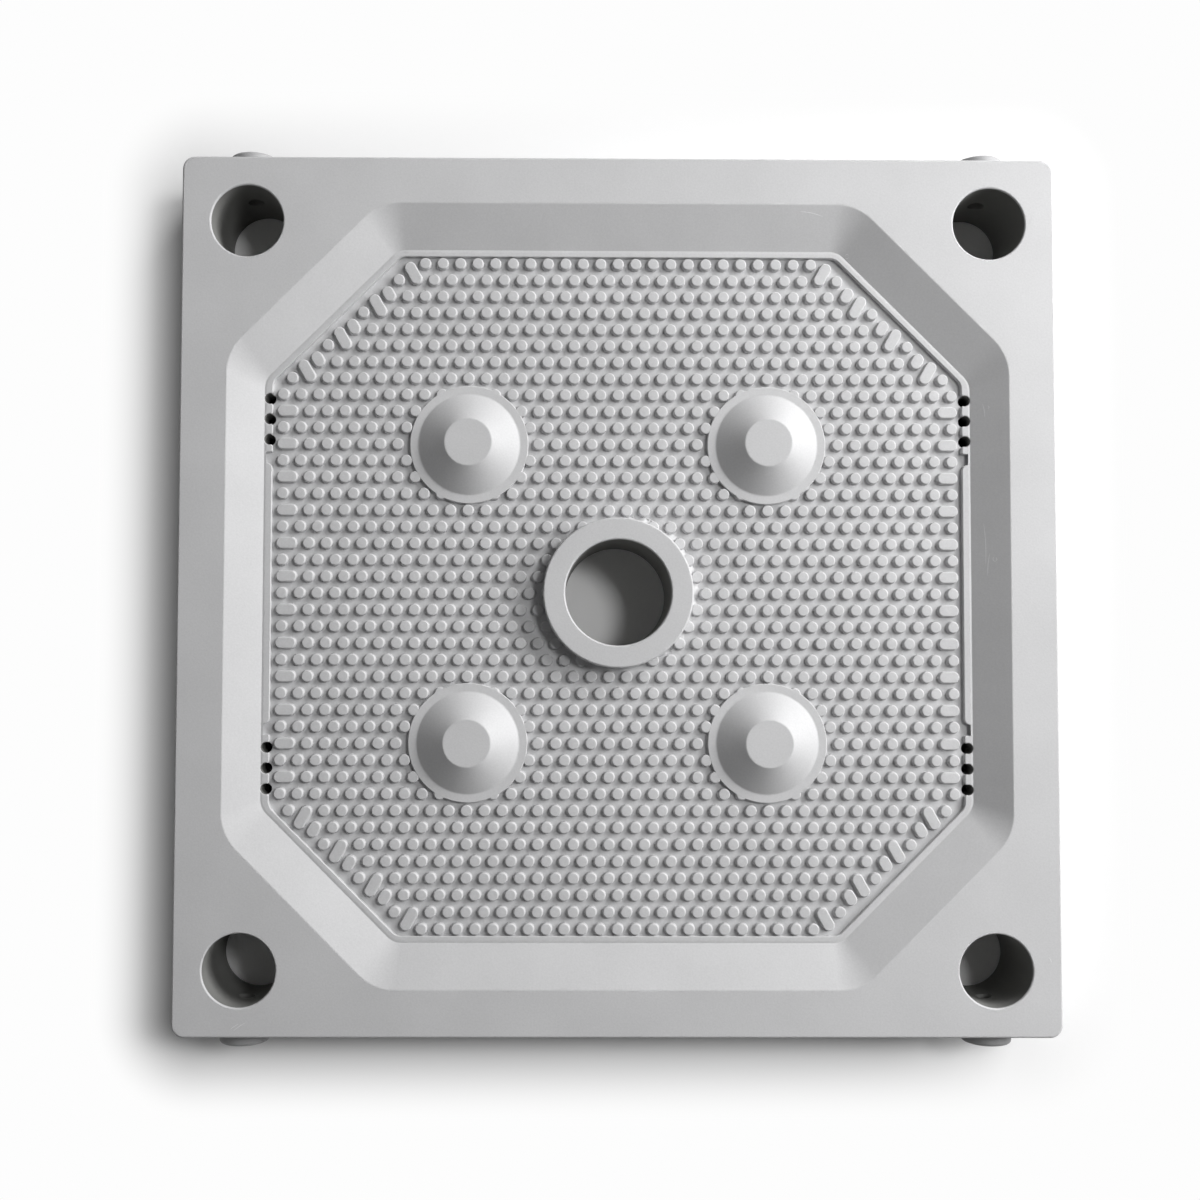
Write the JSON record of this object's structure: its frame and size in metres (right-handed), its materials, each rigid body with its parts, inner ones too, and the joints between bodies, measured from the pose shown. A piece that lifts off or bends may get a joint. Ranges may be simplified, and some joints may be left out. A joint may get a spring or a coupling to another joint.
{
  "type": "filter press plate",
  "caption": "Square recessed filter press plate with a pipped octagonal chamber on both faces, a raised ring round the feed eye, stay bosses, corner eyes and plugged ducts.",
  "frame": {"origin": "centre of the plate's back face, on the axis of the feed eye", "axes": "+Z out of the front face along the feed eye, +X across the width to the picture's right, +Y along the height to the picture's top"},
  "size_m": [0.63, 0.652, 0.07],
  "materials": {
    "moulded_polypropylene": "matte",
    "plug_polypropylene": "matte"
  },
  "bodies": {
    "root": {"plate": "moulded_polypropylene", "plug_top_left": "plug_polypropylene", "plug_top_right": "plug_polypropylene", "plug_bottom_left": "plug_polypropylene", "plug_bottom_right": "plug_polypropylene"}
  },
  "joints": []
}
